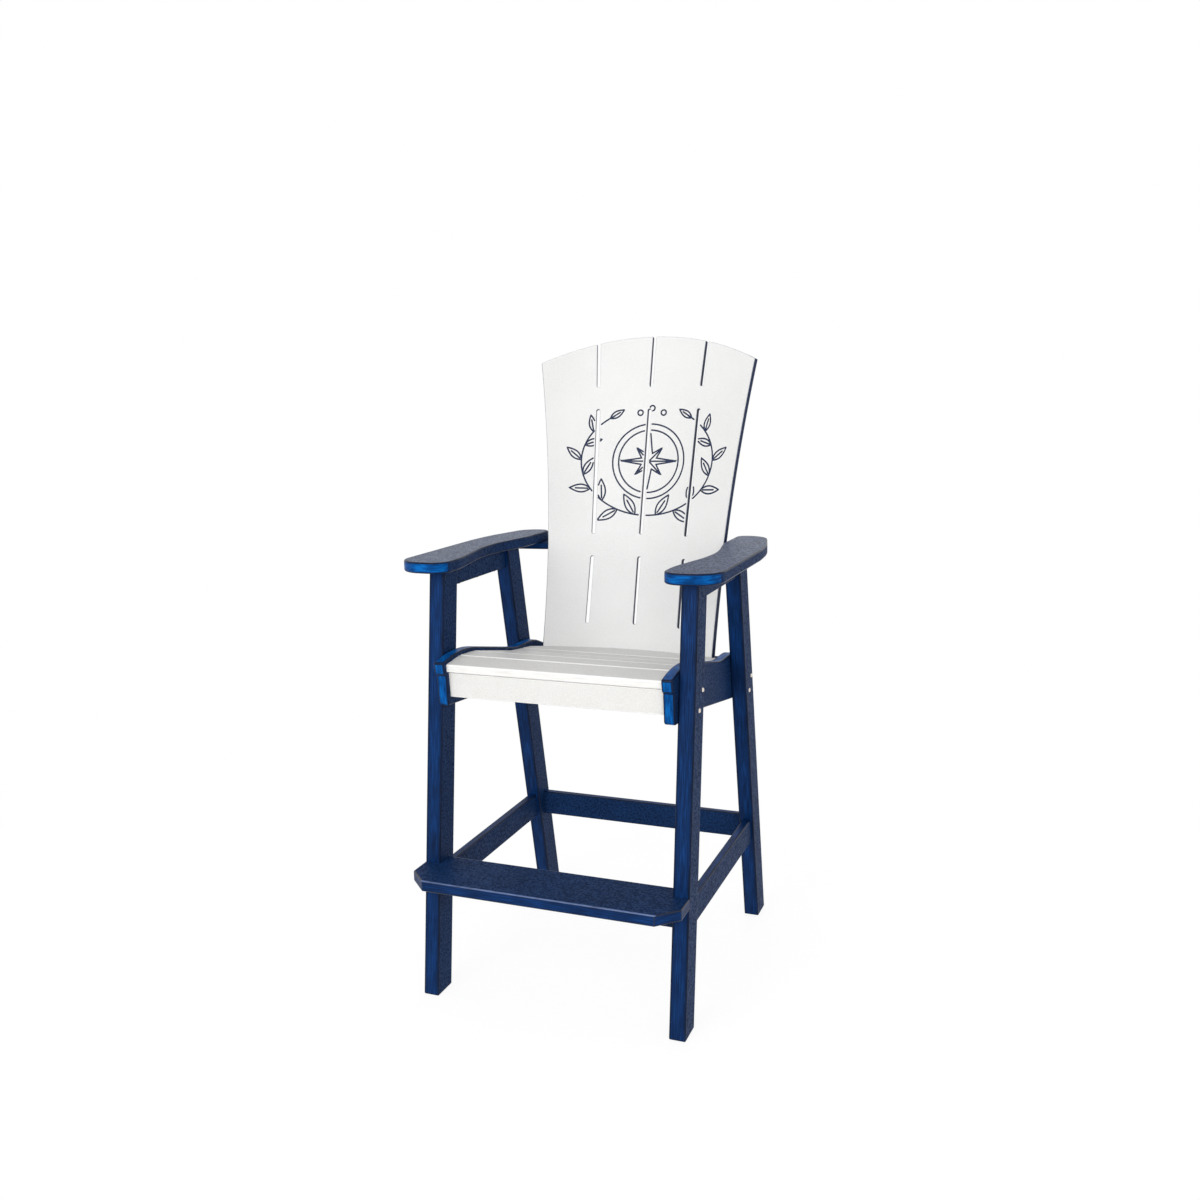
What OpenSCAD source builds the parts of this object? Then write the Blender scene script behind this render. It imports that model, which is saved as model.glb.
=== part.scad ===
// Tall outdoor counter chair in solid plastic boards: navy frame, white seat and back.
// Millimetres. +Z up, the sitter faces -Y, and the sitter's left is +X.
// Heights are above the floor. Depths are counted backwards from the front legs'
// front faces at the floor, and place() then centres the chair on the origin.

/* [Frame] */
// Width over the outer faces of the legs
frame_w = 638.6; // [560:0.1:720]
// Thickness of a leg, across the chair
leg_t = 38.1; // [32:0.1:44]
// Depth of a leg, square to its length
leg_d = 65.5; // [56:0.5:80]
// Lean of the front legs, back from upright, in degrees
front_lean = 6.45; // [4:0.05:8]
// Lean of the rear legs, forward from upright, in degrees
rear_lean = 12.1; // [10:0.05:14]
// Distance on the floor from the front legs' front faces to the rear legs'
leg_base = 658.4; // [620:0.1:700]
// Thickness of the arms, the seat's side boards, the footrest and the lower back rail
plank_t = 25.4; // [20:0.1:30]
// Thickness of the stretchers, arm rails, slats, apron and upper back rail
board_t = 19; // [15:0.5:22]

/* [Stretchers and footrest] */
// Height of the footrest's top
footrest_h = 315; // [260:1:400]
// How far the footrest stands out in front of the front legs' feet
footrest_reach = 66.5; // [40:0.5:90]
// Depth at which the footrest's rear edge lies
footrest_rear = 81; // [76:0.5:84]
// Length cut off along each side at the footrest's front corners
footrest_corner = 45.8; // [20:0.1:60]
// Height of a stretcher board
stretcher_h = 63.3; // [50:0.1:80]
// Distance of side boards from the legs' inner faces
rail_inset = 11; // [6:0.5:14]
// Distance of the front stretcher's front face behind its legs' front faces
front_stretcher_in = 39.5; // [36:0.5:44]
// Distance of the rear stretcher's front face behind its legs' front faces
rear_stretcher_in = 26.2; // [15:0.1:40]

/* [Seat] */
// Height of the highest point of the seat's side boards
seat_h = 799.3; // [760:0.1:830]
// Width of a seat slat
slat_w = 65.5; // [60:0.5:68]
// Gap between two slats
slat_gap = 3.7; // [2:0.1:5]
// How far the slats' tops lie below the side boards' tops
slat_drop = 8.5; // [5:0.1:12]
// Depth at which the first slat starts
slat_start = 56.4; // [54:0.1:60]
// Fall of the rear slat towards the back, in degrees
rear_slat_fall = 6.3; // [4:0.1:8]
// Height of the apron under the first slat
apron_h = 57.6; // [40:0.1:64]
// Distance of the apron's top below the side boards' highest point
apron_drop = 37.5; // [34:0.1:42]
// Depth of the apron's front face at its top
apron_in = 67.5; // [66:0.1:72]
// Width and height of the cleats that carry the slats
cleat_w = 20; // [16:0.5:22]

/* [Arms] */
// Height of the arms' tops
arm_h = 1013.8; // [980:0.1:1060]
// How far an arm stands out beyond the leg's outer face
arm_overhang = 56.5; // [45:0.1:70]
// Depth of the arms' front edge
arm_front = 52; // [30:0.5:70]
// Depth of the arms' rear edge
arm_rear = 672; // [666:0.5:700]
// Height of an arm rail under the arm
arm_rail_h = 46; // [35:0.5:60]
// How far the upper back rail's ends stand out beyond the legs' outer faces
upper_rail_out = 11; // [5:0.5:20]
// Depth of the upper back rail behind the panel's middle
upper_rail_behind = 46; // [35:0.5:60]

/* [Back] */
// Thickness of the back panel
back_t = 12.7; // [9:0.1:16]
// Recline of the back panel from upright, in degrees
recline = 14.37; // [12:0.01:17]
// Length of the back panel along its middle, above the slats
back_len = 808; // [700:1:860]
// Height of the back panel's foot line, where it meets the rear slat
foot_drop = 66.3; // [62:0.1:70]
// Depth of the back panel's front face at the foot line
foot_y = 588.8; // [582:0.1:596]
// Radius to which the panel is bent at the foot line; it grows upwards as the panel leans
bend_r = 478.1; // [470:0.1:500]
// Angle that half of the panel's waist spans round the bend, in degrees
waist_angle = 25.2; // [23:0.1:25.6]
// Height of the panel's waist above the foot line
waist_up = 490; // [400:1:560]
// Radius of the panel's hollowed sides
side_r = 4500; // [3500:50:8000]
// Radius of the panel's arched top
crown_r = 553.5; // [480:0.5:700]
// Width of the slots
slot_w = 9.5; // [6:0.1:14]

/* [Fasteners] */
// Diameter of the screws' shanks
screw_d = 5; // [4:0.1:6]
// Diameter of the screws' pan heads
head_d = 10.2; // [7:0.1:12]
// Height of the screws' pan heads
head_h = 2.4; // [1.5:0.1:4]
// Diameter of the hidden pins in the butt joints
pin_d = 8; // [6:0.1:10]
// Length of the hidden pins
pin_l = 36; // [20:1:40]
// Clearance of a screw or pin in its hole, on the radius
hole_clear = 0.1; // [0.05:0.05:0.3]

/* [Hidden] */
$fn = 48;

navy = [0.09, 0.2, 0.4];
white = [0.93, 0.93, 0.92];
steel = [0.75, 0.76, 0.78];

// Fit between pieces that are shaped round each other
fit_gap = 0.3;
// Sides of the large round faces, fine enough to look smooth
round_sides = 360;
left = 1;
right = -1;

// Legs: slopes, and the lines of their faces at a height
front_slope = tan(front_lean);
rear_slope = tan(rear_lean);
front_depth = leg_d / cos(front_lean);
rear_depth = leg_d / cos(rear_lean);
leg_in = frame_w / 2 - leg_t;
leg_top = arm_h - plank_t;
function front_leg_y(z) = front_slope * z;
function rear_leg_y(z) = leg_base - rear_slope * z;

// Stretchers stand under the footrest's level
stretcher_top = footrest_h - plank_t;
stretcher_bottom = stretcher_top - stretcher_h;
stretcher_mid = stretcher_bottom + stretcher_h / 2;
front_stretcher_y = front_leg_y(stretcher_mid) + front_stretcher_in;
rear_stretcher_y = rear_leg_y(stretcher_mid) + rear_stretcher_in;
rail_x = leg_in + rail_inset;
arm_rail_bottom = leg_top - arm_rail_h;

// Back panel: an upright cone whose radius grows with height
foot_z = seat_h - foot_drop;
lean_rate = tan(recline);
bend_axis_y = foot_y - bend_r;
back_depth = back_t / cos(recline);
back_top_z = foot_z + back_len * cos(recline);
back_rear_y = foot_y + back_len * sin(recline) + back_t * cos(recline);
function bend_at(z) = bend_r + (z - foot_z) * lean_rate;

// Lower back rail: its top is level with the side boards' rear corners
side_rear_drop = 94.5;
lower_rail_top = seat_h - side_rear_drop;
lower_rail_bottom = lower_rail_top - plank_t;
lower_rail_mid = lower_rail_bottom + plank_t / 2;
lower_rail_behind = 38;
seat_rear = foot_y + back_depth + lower_rail_behind;
seat_in = leg_in - plank_t;

// Upper back rail: it rests against the panel's back and carries the arms' rear ends
upper_rail_bottom = leg_top - board_t;
upper_rail_mid = leg_top - board_t / 2;
upper_rail_half = frame_w / 2 + upper_rail_out;
upper_rail_r = bend_at(upper_rail_mid) + back_depth;
upper_rail_bend = [upper_rail_r * sin(waist_angle), bend_axis_y + upper_rail_r * cos(waist_angle)];
upper_rail_wing_y = upper_rail_bend.y - 16;
upper_rail_end_y = arm_rear - 6;
upper_rail_rear = bend_axis_y + upper_rail_r + upper_rail_behind;
upper_rail_rear_in = 40;
upper_rail_rear_r = 120;
upper_rail_end_r = 30;
upper_rail_bend_r = 20;
upper_rail_wing_r = 12;

mid_y = (back_rear_y - footrest_reach) / 2;

// A path of [x, y, radius] corners, each rounded by an arc of its radius
arc_steps = 8;
function corner(a, p, b) =
    let(
        u = [a.x - p.x, a.y - p.y] / norm([a.x - p.x, a.y - p.y]),
        v = [b.x - p.x, b.y - p.y] / norm([b.x - p.x, b.y - p.y]),
        half = acos(u * v) / 2,
        centre = [p.x, p.y] + (u + v) / norm(u + v) * p.z / sin(half),
        from = [p.x, p.y] + u * p.z / tan(half) - centre,
        to = [p.x, p.y] + v * p.z / tan(half) - centre,
        turn = atan2(from.x * to.y - from.y * to.x, from * to)
    )
    [for (i = [0 : arc_steps])
        let(angle = turn * i / arc_steps)
        centre + [from.x * cos(angle) - from.y * sin(angle), from.x * sin(angle) + from.y * cos(angle)]];
function rounded(points) =
    let(n = len(points))
    [for (i = [0 : n - 1]) each corner(points[(i + n - 1) % n], points[i], points[(i + 1) % n])];

// Seat side board, seen from the side, as [depth, height from seat_h, radius]
top_corners = [
    [43, -10.4, 5], [136.2, 8.2, 376], [433, -57.1, 250], [539.4, -57.1, 167],
    [seat_rear, -side_rear_drop, 10]
];
low_corners = [[seat_rear, -191, 10], [279, -130.9, 300], [61.7, -112.8, 9], [56, -41.8, 2], [49, -38.3, 3]];
seat_outline = rounded([for (p = concat(top_corners, low_corners)) [p.x, p.y + seat_h, p.z]]);
function seat_top(y) = lookup(y, [for (i = [0 : len(top_corners) * (arc_steps + 1) - 1]) seat_outline[i]]);

// Narrow slats lie in a row along the side boards' tops, and the rear slat behind them:
// their front edges, angles and the line of their undersides
slat_count = 6;
function slat_y(i) = i == 0 ? slat_start : slat_y(i - 1) + (slat_w + slat_gap) * cos(slat_angle(i - 1));
function slat_angle(i) =
    i == slat_count ? -rear_slat_fall
    : atan2(seat_top(slat_y(i) + slat_w) - seat_top(slat_y(i)), slat_w);
function slat_z(i) = seat_top(slat_y(i)) - slat_drop;
function under_slat(i, along) =
    [slat_y(i) + along * cos(slat_angle(i)) + board_t * sin(slat_angle(i)),
     slat_z(i) + along * sin(slat_angle(i)) - board_t * cos(slat_angle(i))];

// Apron leans like the side boards' lower front edges
apron_top = seat_h - apron_drop;
apron_bottom = apron_top - apron_h;
apron_lean = 0.09;
apron_low = apron_in + apron_h * apron_lean;

// The cleats start behind the apron, run under all the slats and stop before the lower back rail
cleat_front = apron_low + board_t - slat_start + 4;
cleat_rear = 60;
cleat_line = concat(
    [under_slat(0, cleat_front)],
    [under_slat(0, slat_w)],
    [for (i = [1 : slat_count - 1]) each [under_slat(i, 0), under_slat(i, slat_w)]],
    [under_slat(slat_count, 0), under_slat(slat_count, cleat_rear)]
);
lower_rail_front = cleat_line[len(cleat_line) - 1].x + 10;

// Arm seen from above, as [distance from the chair's middle, depth, radius]
arm_out = frame_w / 2 + arm_overhang;
arm_in = leg_in - 29.5;
arm_rear_in = arm_in + 7;
arm_turn_out = arm_out - 7.3;
arm_rear_out = arm_out - 43.8;
arm_nose_y = 139;
arm_nose_in_r = 40;
arm_nose_out_r = 62;
arm_waist_in = arm_in + 39.6;
arm_waist_y = 346.5;
arm_waist_r = 450;
arm_hip_y = 522;
arm_hip_r = 250;
arm_widest_y = 430;
arm_widest_r = 400;
arm_turn_y = 520;
arm_turn_r = 500;
arm_rear_in_r = 26;
arm_rear_out_r = 56;
arm_outline = rounded([
    [arm_in, arm_front, arm_nose_in_r], [arm_in, arm_nose_y, arm_hip_r],
    [arm_waist_in, arm_waist_y, arm_waist_r], [arm_rear_in, arm_hip_y, arm_hip_r],
    [arm_rear_in, arm_rear, arm_rear_in_r], [arm_rear_out, arm_rear, arm_rear_out_r],
    [arm_turn_out, arm_turn_y, arm_turn_r], [arm_out, arm_widest_y, arm_widest_r],
    [arm_out, arm_front, arm_nose_out_r]
]);

// Slots as [lower end, upper end] above the foot line and their distance from the middle there
low_slots = [[51, 228], [124.5, 125]];
mid_slots = [[286, 617], [126, 138]];
top_slots = [[675, 830], [141.5, 151]];

// Fasteners: places of the leg screws as [distance behind the leg's front face, height from seat_h]
front_screws = [[52.7, -50], [31.6, -89.3]];
rear_screws = [[51.6, -120.2], [26.1, -153.2]];
leg_screw_l = leg_t + 18;
arm_screws_y = [215, 310, 405];
arm_screw_l = arm_rail_h + 15;
arm_screw_x = rail_x + board_t / 2;
rail_screw_places = [for (share = [0.38, 0.76])
    [arm_screw_x, upper_rail_wing_y + share * (upper_rail_end_y - upper_rail_wing_y)]];
rail_screw_l = board_t + 14;
panel_screw_x = [60, 165];
slat_screw_l = cleat_w + 12;
cleat_screw_l = cleat_w + 15;
footrest_screw_x = [90, 230];
footrest_screw_y = (front_stretcher_y + footrest_rear) / 2;
footrest_screw_l = 40;
counterbore = 38;

module place() {
    translate([0, -mid_y, 0]) children();
}

// A board drawn in [depth, height] and given its thickness across the chair
module across(x, thickness) {
    translate([x, 0, 0]) rotate([90, 0, 90]) linear_extrude(thickness) children();
}

// Mirrors what is drawn for the left side onto the right one
module on_side(side) {
    mirror([side == right ? 1 : 0, 0, 0]) children();
}

module pan_screw(length) {
    translate([0, 0, -length]) cylinder(d = screw_d, h = length);
    difference() {
        cylinder(d1 = head_d, d2 = head_d * 0.72, h = head_h);
        translate([-1.3, -1.3, head_h - 1.2]) cube([2.6, 2.6, 2]);
    }
}

module screw_hole(length) {
    translate([0, 0, -length - 0.5]) cylinder(d = screw_d + 2 * hole_clear, h = length + 1);
}

// A hidden pin centred on a joint, or its hole when grow is above 0
module pin(along, grow) {
    rotate(along == "x" ? [0, 90, 0] : [90, 0, 0])
        cylinder(d = pin_d + 2 * grow, h = pin_l + 4 * grow, center = true);
}

// Where the leg screws enter, pointing outwards
module at_leg_screws(side, places, leg) {
    for (p = places) {
        z = seat_h + p.y;
        y = p.x + (leg == "front" ? front_leg_y(z) : rear_leg_y(z));
        on_side(side) translate([frame_w / 2, y, z]) rotate([0, 90, 0]) children();
    }
}

module stretcher_pins(y, grow) {
    for (x = [-leg_in, leg_in], z = [0.27, 0.73])
        translate([x, y + board_t / 2, stretcher_bottom + stretcher_h * z]) pin("x", grow);
}

module side_pins(side, bottom, height, grow) {
    for (share = [0.27, 0.73]) {
        z = bottom + height * share;
        on_side(side) translate([rail_x + board_t / 2, front_leg_y(z) + front_depth, z]) pin("y", grow);
        on_side(side) translate([rail_x + board_t / 2, rear_leg_y(z), z]) pin("y", grow);
    }
}

module apron_pins(grow) {
    for (x = [-seat_in, seat_in])
        translate([x, (apron_in + apron_low + board_t) / 2, apron_top - apron_h / 2]) pin_short(grow);
}

module lower_rail_pins(grow) {
    for (x = [-seat_in, seat_in])
        translate([x, (seat_rear + foot_y) / 2, lower_rail_mid]) pin_short(grow);
}

// The pins into a seat side board stop inside its thickness
module pin_short(grow) {
    rotate([0, 90, 0]) cylinder(d = pin_d + 2 * grow, h = plank_t + 4 * grow, center = true);
}

module at_arm_screws(side) {
    for (y = arm_screws_y)
        on_side(side) translate([arm_screw_x, y, arm_rail_bottom]) rotate([180, 0, 0]) children();
}

module at_rail_screws() {
    for (side = [left, right], p = rail_screw_places)
        on_side(side) translate([p.x, p.y, upper_rail_bottom]) rotate([180, 0, 0]) children();
}

// Screws through a rail into the back panel, heads on the rail's rear edge
function panel_screw_l(x, rear, z) =
    rear - bend_axis_y - sqrt(pow(bend_at(z) + back_depth, 2) - x * x) + 0.6 * back_t;

module panel_screws(rear, z) {
    for (side = [left, right], x = panel_screw_x)
        on_side(side) translate([x, rear, z]) rotate([-90, 0, 0]) pan_screw(panel_screw_l(x, rear, z));
}

module panel_screw_holes(rear, z) {
    for (side = [left, right], x = panel_screw_x)
        on_side(side) translate([x, rear, z]) rotate([-90, 0, 0]) screw_hole(panel_screw_l(x, rear, z));
}

// On each slat, one place in its middle over each cleat, square to the slat
module at_slat(i) {
    translate([0, slat_y(i), slat_z(i)]) rotate([slat_angle(i), 0, 0]) children();
}

module at_slat_screws(i) {
    for (side = [left, right])
        on_side(side) at_slat(i)
            translate([seat_in - cleat_w / 2, slat_w / 2, -board_t - cleat_w]) rotate([180, 0, 0]) children();
}

module at_cleat_screws(side) {
    for (i = [1, 3, 5]) {
        edge = under_slat(i, slat_w);
        on_side(side) translate([seat_in - cleat_w, edge.x, edge.y - cleat_w / 2])
            rotate([0, -90, 0]) children();
    }
}

module at_footrest_screws() {
    for (side = [left, right], x = footrest_screw_x)
        on_side(side) translate([x, footrest_screw_y, stretcher_bottom + counterbore])
            rotate([180, 0, 0]) children();
}

// The solid inside the back panel's front face, grown outwards by extra
module bend_cone(extra, z_low, z_high) {
    translate([0, bend_axis_y, z_low])
        cylinder(
            r1 = bend_at(z_low) + extra, r2 = bend_at(z_high) + extra,
            h = z_high - z_low, $fn = round_sides
        );
}

// A place on the panel's front face: turned round the bend, then up along the lean
module on_back(angle, up) {
    translate([0, bend_axis_y, 0]) rotate([0, 0, -angle]) translate([0, bend_r, foot_z])
        rotate([90 - recline, 0, 0]) translate([0, up, 0]) children();
}

// A round-ended slot cut square through the sheet, between two places on it
module back_slot(ends, offsets, side) {
    low_r = bend_r + ends[0] * sin(recline);
    high_r = bend_r + ends[1] * sin(recline);
    low_angle = asin(offsets[0] / low_r);
    high_angle = asin(offsets[1] / high_r);
    middle = (low_angle + high_angle) / 2;
    low = [low_r * sin(low_angle - middle), ends[0] + slot_w / 2];
    high = [high_r * sin(high_angle - middle), ends[1] - slot_w / 2];
    tilt = atan2(high.x - low.x, high.y - low.y);
    on_side(side) on_back(middle, 0) translate([low.x, low.y, -3 * back_t]) rotate([0, 0, -tilt])
        linear_extrude(6 * back_t) {
            circle(d = slot_w);
            translate([-slot_w / 2, 0]) square([slot_w, norm(high - low)]);
            translate([0, norm(high - low)]) circle(d = slot_w);
        }
}

module front_leg(side, extra = 0) {
    on_side(side) across(leg_in - extra, leg_t + 2 * extra) polygon([
        [-extra, 0], [front_depth + extra, 0],
        [front_leg_y(leg_top) + front_depth + extra, leg_top], [front_leg_y(leg_top) - extra, leg_top]
    ]);
}

module drilled_front_leg(side) {
    color(navy) place() difference() {
        front_leg(side);
        at_leg_screws(side, front_screws, "front") screw_hole(leg_screw_l);
        stretcher_pins(front_stretcher_y, hole_clear);
        side_pins(side, stretcher_bottom, stretcher_h, hole_clear);
        side_pins(side, arm_rail_bottom, arm_rail_h, hole_clear);
    }
}

module drilled_rear_leg(side) {
    color(navy) place() difference() {
        on_side(side) across(leg_in, leg_t) polygon([
            [leg_base, 0], [leg_base + rear_depth, 0],
            [rear_leg_y(leg_top) + rear_depth, leg_top], [rear_leg_y(leg_top), leg_top]
        ]);
        at_leg_screws(side, rear_screws, "rear") screw_hole(leg_screw_l);
        stretcher_pins(rear_stretcher_y, hole_clear);
        side_pins(side, stretcher_bottom, stretcher_h, hole_clear);
        side_pins(side, arm_rail_bottom, arm_rail_h, hole_clear);
    }
}

// A board between the front and the rear leg of one side, cut to their slopes
module side_board(side, bottom, height) {
    on_side(side) across(rail_x, board_t) polygon([
        [front_leg_y(bottom) + front_depth, bottom], [rear_leg_y(bottom), bottom],
        [rear_leg_y(bottom + height), bottom + height],
        [front_leg_y(bottom + height) + front_depth, bottom + height]
    ]);
}

module side_stretcher(side) {
    color(navy) place() difference() {
        side_board(side, stretcher_bottom, stretcher_h);
        side_pins(side, stretcher_bottom, stretcher_h, hole_clear);
    }
}

module arm_rail(side) {
    color(navy) place() difference() {
        side_board(side, arm_rail_bottom, arm_rail_h);
        side_pins(side, arm_rail_bottom, arm_rail_h, hole_clear);
        at_arm_screws(side) screw_hole(arm_screw_l);
    }
}

module arm(side) {
    color(navy) place() difference() {
        on_side(side) translate([0, 0, leg_top]) linear_extrude(plank_t) polygon(arm_outline);
        at_arm_screws(side) screw_hole(arm_screw_l);
        at_rail_screws() screw_hole(rail_screw_l);
    }
}

module seat_side(side) {
    color(navy) place() difference() {
        on_side(side) across(seat_in, plank_t) polygon(seat_outline);
        at_leg_screws(side, front_screws, "front") screw_hole(leg_screw_l);
        at_leg_screws(side, rear_screws, "rear") screw_hole(leg_screw_l);
        at_cleat_screws(side) screw_hole(cleat_screw_l);
        apron_pins(hole_clear);
        lower_rail_pins(hole_clear);
    }
}

module slat_cleat(side) {
    n = len(cleat_line);
    color(navy) place() difference() {
        on_side(side) across(seat_in - cleat_w, cleat_w)
            polygon(concat(cleat_line, [for (i = [n - 1 : -1 : 0]) cleat_line[i] - [0, cleat_w]]));
        for (i = [1 : slat_count]) at_slat_screws(i) screw_hole(slat_screw_l);
        at_cleat_screws(side) screw_hole(cleat_screw_l);
    }
}

module cross_stretcher(y) {
    difference() {
        translate([-leg_in, y, stretcher_bottom]) cube([2 * leg_in, board_t, stretcher_h]);
        stretcher_pins(y, hole_clear);
    }
}

module front_stretcher() {
    color(navy) place() difference() {
        cross_stretcher(front_stretcher_y);
        at_footrest_screws() screw_hole(footrest_screw_l);
        at_footrest_screws() cylinder(d = head_d + 1, h = counterbore + 1);
    }
}

module rear_stretcher() {
    color(navy) place() cross_stretcher(rear_stretcher_y);
}

module footrest() {
    half = frame_w / 2;
    front = -footrest_reach;
    inner = half - footrest_corner;
    side_end = front + footrest_corner;
    notch = front_leg_y(stretcher_top) + leg_d / 2;
    color(navy) place() difference() {
        translate([0, 0, stretcher_top]) linear_extrude(plank_t) polygon([
            [-inner, front], [inner, front], [half, side_end], [half, notch],
            [leg_in, notch], [leg_in, footrest_rear], [-leg_in, footrest_rear], [-leg_in, notch],
            [-half, notch], [-half, side_end]
        ]);
        front_leg(left, fit_gap);
        front_leg(right, fit_gap);
        at_footrest_screws() screw_hole(footrest_screw_l);
    }
}

module seat_apron() {
    color(white) place() difference() {
        across(-seat_in, 2 * seat_in) polygon([
            [apron_in, apron_top], [apron_low, apron_bottom],
            [apron_low + board_t, apron_bottom], [apron_in + board_t, apron_top]
        ]);
        apron_pins(hole_clear);
    }
}

module seat_slat(i) {
    color(white) place() difference() {
        at_slat(i) translate([-seat_in, 0, -board_t]) cube([2 * seat_in, slat_w, board_t]);
        if (i > 0) at_slat_screws(i) screw_hole(slat_screw_l);
    }
}

// The rear slat reaches back to the panel, and its rear edge follows the panel's bend
module rear_seat_slat() {
    reach = foot_y - slat_y(slat_count) + plank_t;
    color(white) place() difference() {
        intersection() {
            at_slat(slat_count) translate([-seat_in, 0, -board_t]) cube([2 * seat_in, reach, board_t]);
            bend_cone(-fit_gap, foot_z - 2 * plank_t, foot_z + 2 * plank_t);
        }
        at_slat_screws(slat_count) screw_hole(slat_screw_l);
    }
}

module lower_back_rail() {
    color(navy) place() difference() {
        translate([-seat_in, lower_rail_front, lower_rail_bottom])
            cube([2 * seat_in, seat_rear - lower_rail_front, plank_t]);
        bend_cone(back_depth + fit_gap, lower_rail_bottom - 5, lower_rail_top + 5);
        lower_rail_pins(hole_clear);
        panel_screw_holes(seat_rear, lower_rail_mid);
    }
}

module upper_back_rail() {
    bend = upper_rail_bend;
    color(navy) place() difference() {
        translate([0, 0, upper_rail_bottom]) linear_extrude(board_t) polygon(rounded([
            [-upper_rail_half, upper_rail_wing_y, upper_rail_wing_r], [-bend.x, bend.y, upper_rail_bend_r],
            [bend.x, bend.y, upper_rail_bend_r], [upper_rail_half, upper_rail_wing_y, upper_rail_wing_r],
            [upper_rail_half, upper_rail_end_y, upper_rail_end_r],
            [bend.x - upper_rail_rear_in, upper_rail_rear, upper_rail_rear_r],
            [upper_rail_rear_in - bend.x, upper_rail_rear, upper_rail_rear_r],
            [-upper_rail_half, upper_rail_end_y, upper_rail_end_r]
        ]));
        bend_cone(back_depth + fit_gap, upper_rail_bottom - 5, leg_top + 5);
        at_rail_screws() screw_hole(rail_screw_l);
        panel_screw_holes(upper_rail_rear, upper_rail_mid);
    }
}

module back_panel() {
    color(white) place() difference() {
        intersection() {
            bend_cone(back_depth, lower_rail_bottom, back_top_z + 5);
            translate([-bend_r, bend_axis_y + bend_r / 2, 0]) cube([2 * bend_r, 2 * bend_r, back_top_z + 5]);
            on_back(0, back_len - crown_r) translate([0, 0, -3 * bend_r])
                cylinder(r = crown_r, h = 6 * bend_r, $fn = round_sides);
        }
        bend_cone(0, lower_rail_bottom - 5, back_top_z + 10);
        for (side = [left, right]) {
            on_side(side) on_back(waist_angle, waist_up) translate([side_r, 0, -bend_r / 2])
                cylinder(r = side_r, h = bend_r, $fn = 4 * round_sides);
            back_slot(low_slots[0], low_slots[1], side);
            back_slot(mid_slots[0], mid_slots[1], side);
            back_slot(top_slots[0], top_slots[1], side);
        }
        back_slot(low_slots[0], [0, 0], left);
        back_slot(mid_slots[0], [0, 0], left);
        back_slot(top_slots[0], [0, 0], left);
        panel_screw_holes(seat_rear, lower_rail_mid);
        panel_screw_holes(upper_rail_rear, upper_rail_mid);
    }
}

module leg_screws() {
    color(steel) place() for (side = [left, right]) {
        at_leg_screws(side, front_screws, "front") pan_screw(leg_screw_l);
        at_leg_screws(side, rear_screws, "rear") pan_screw(leg_screw_l);
    }
}

module arm_screws() {
    color(steel) place() for (side = [left, right]) at_arm_screws(side) pan_screw(arm_screw_l);
}

module upper_rail_screws() {
    color(steel) place() at_rail_screws() pan_screw(rail_screw_l);
}

module back_panel_screws() {
    color(steel) place() {
        panel_screws(seat_rear, lower_rail_mid);
        panel_screws(upper_rail_rear, upper_rail_mid);
    }
}

module slat_screws() {
    color(steel) place() for (i = [1 : slat_count]) at_slat_screws(i) pan_screw(slat_screw_l);
}

module cleat_screws() {
    color(steel) place() for (side = [left, right]) at_cleat_screws(side) pan_screw(cleat_screw_l);
}

module footrest_screws() {
    color(steel) place() at_footrest_screws() pan_screw(footrest_screw_l);
}

module joint_pins() {
    color(steel) place() {
        stretcher_pins(front_stretcher_y, 0);
        stretcher_pins(rear_stretcher_y, 0);
        apron_pins(0);
        lower_rail_pins(0);
        for (side = [left, right]) {
            side_pins(side, stretcher_bottom, stretcher_h, 0);
            side_pins(side, arm_rail_bottom, arm_rail_h, 0);
        }
    }
}

drilled_front_leg(left);  // left_front_leg
drilled_front_leg(right);  // right_front_leg
drilled_rear_leg(left);  // left_rear_leg
drilled_rear_leg(right);  // right_rear_leg
arm(left);  // left_arm
arm(right);  // right_arm
arm_rail(left);  // left_arm_rail
arm_rail(right);  // right_arm_rail
seat_side(left);  // left_seat_side
seat_side(right);  // right_seat_side
slat_cleat(left);  // left_slat_cleat
slat_cleat(right);  // right_slat_cleat
side_stretcher(left);  // left_side_stretcher
side_stretcher(right);  // right_side_stretcher
front_stretcher();
rear_stretcher();
footrest();
seat_apron();
seat_slat(0);  // seat_slat_1
seat_slat(1);  // seat_slat_2
seat_slat(2);  // seat_slat_3
seat_slat(3);  // seat_slat_4
seat_slat(4);  // seat_slat_5
seat_slat(5);  // seat_slat_6
rear_seat_slat();
lower_back_rail();
upper_back_rail();
back_panel();
leg_screws();
arm_screws();
upper_rail_screws();
back_panel_screws();
slat_screws();
cleat_screws();
footrest_screws();
joint_pins();
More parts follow.
